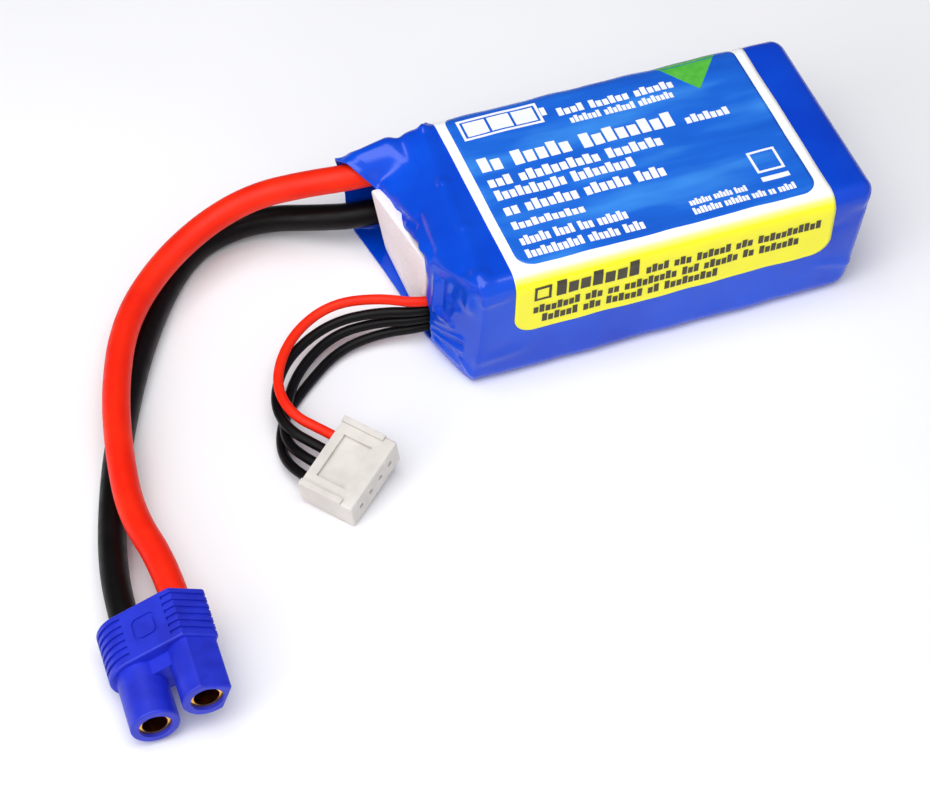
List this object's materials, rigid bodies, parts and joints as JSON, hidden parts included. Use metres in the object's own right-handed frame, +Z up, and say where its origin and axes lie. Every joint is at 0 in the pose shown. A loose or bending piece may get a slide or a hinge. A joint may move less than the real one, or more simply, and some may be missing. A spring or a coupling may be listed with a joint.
{
  "type": "lithium polymer battery pack",
  "caption": "Soft-cased battery pack of stacked pouch cells in a heat-shrink sleeve, with heavy power leads to a moulded bullet plug and thin balance leads to a small plug.",
  "frame": {"origin": "centre of the sleeve's footprint, on the surface that the pack lies on", "axes": "+X towards the closed rear end, so that the leads leave at -X; +Y to the side that the power leads leave on; +Z up through the labelled face"},
  "size_m": [0.1265, 0.0855, 0.0205],
  "materials": {
    "sleeve_film": "glossy blue PVC heat-shrink film",
    "label_vinyl": "printed vinyl label, satin",
    "wrap_paper": "insulating paper, matt",
    "white_pad": "white card pad, matt",
    "board_laminate": "glass-fibre laminate, satin",
    "cell_foil": "laminated foil, satin",
    "glue_film": "double-sided adhesive film",
    "aluminium_tab": "rolled foil strip",
    "nickel_strip": "nickel-plated strip",
    "solder": "soldered tin alloy, smooth",
    "red_silicone": "red silicone insulation, satin",
    "black_silicone": "black silicone insulation, satin",
    "blue_nylon": "moulded blue nylon, satin",
    "gold_contact": "gold-plated, polished",
    "natural_nylon": "natural nylon, slightly translucent",
    "tin_contact": "tin-plated, satin"
  },
  "bodies": {
    "root": {"shrink_sleeve": "sleeve_film", "label": "label_vinyl", "stack_wrap": "wrap_paper", "rear_pad": "white_pad", "front_pad": "white_pad", "tab_board": "board_laminate", "cell_1": "cell_foil", "cell_2": "cell_foil", "cell_3": "cell_foil", "glue_pad_1": "glue_film", "glue_pad_2": "glue_film", "positive_tab_1": "aluminium_tab", "positive_tab_2": "aluminium_tab", "positive_tab_3": "aluminium_tab", "negative_tab_1": "nickel_strip", "negative_tab_2": "nickel_strip", "negative_tab_3": "nickel_strip", "series_link_1": "nickel_strip", "series_link_2": "nickel_strip", "positive_bus": "nickel_strip", "negative_bus": "nickel_strip", "positive_joint": "solder", "negative_joint": "solder", "balance_joints": "solder", "positive_lead": "red_silicone", "negative_lead": "black_silicone", "positive_lead_end": "solder", "negative_lead_end": "solder", "power_plug_housing": "blue_nylon", "positive_socket": "gold_contact", "negative_socket": "gold_contact", "balance_plug_housing": "natural_nylon", "balance_lead_1": "red_silicone", "balance_lead_2": "black_silicone", "balance_lead_3": "black_silicone", "balance_lead_4": "black_silicone", "balance_contact_1": "tin_contact", "balance_contact_2": "tin_contact", "balance_contact_3": "tin_contact", "balance_contact_4": "tin_contact"}
  },
  "joints": []
}
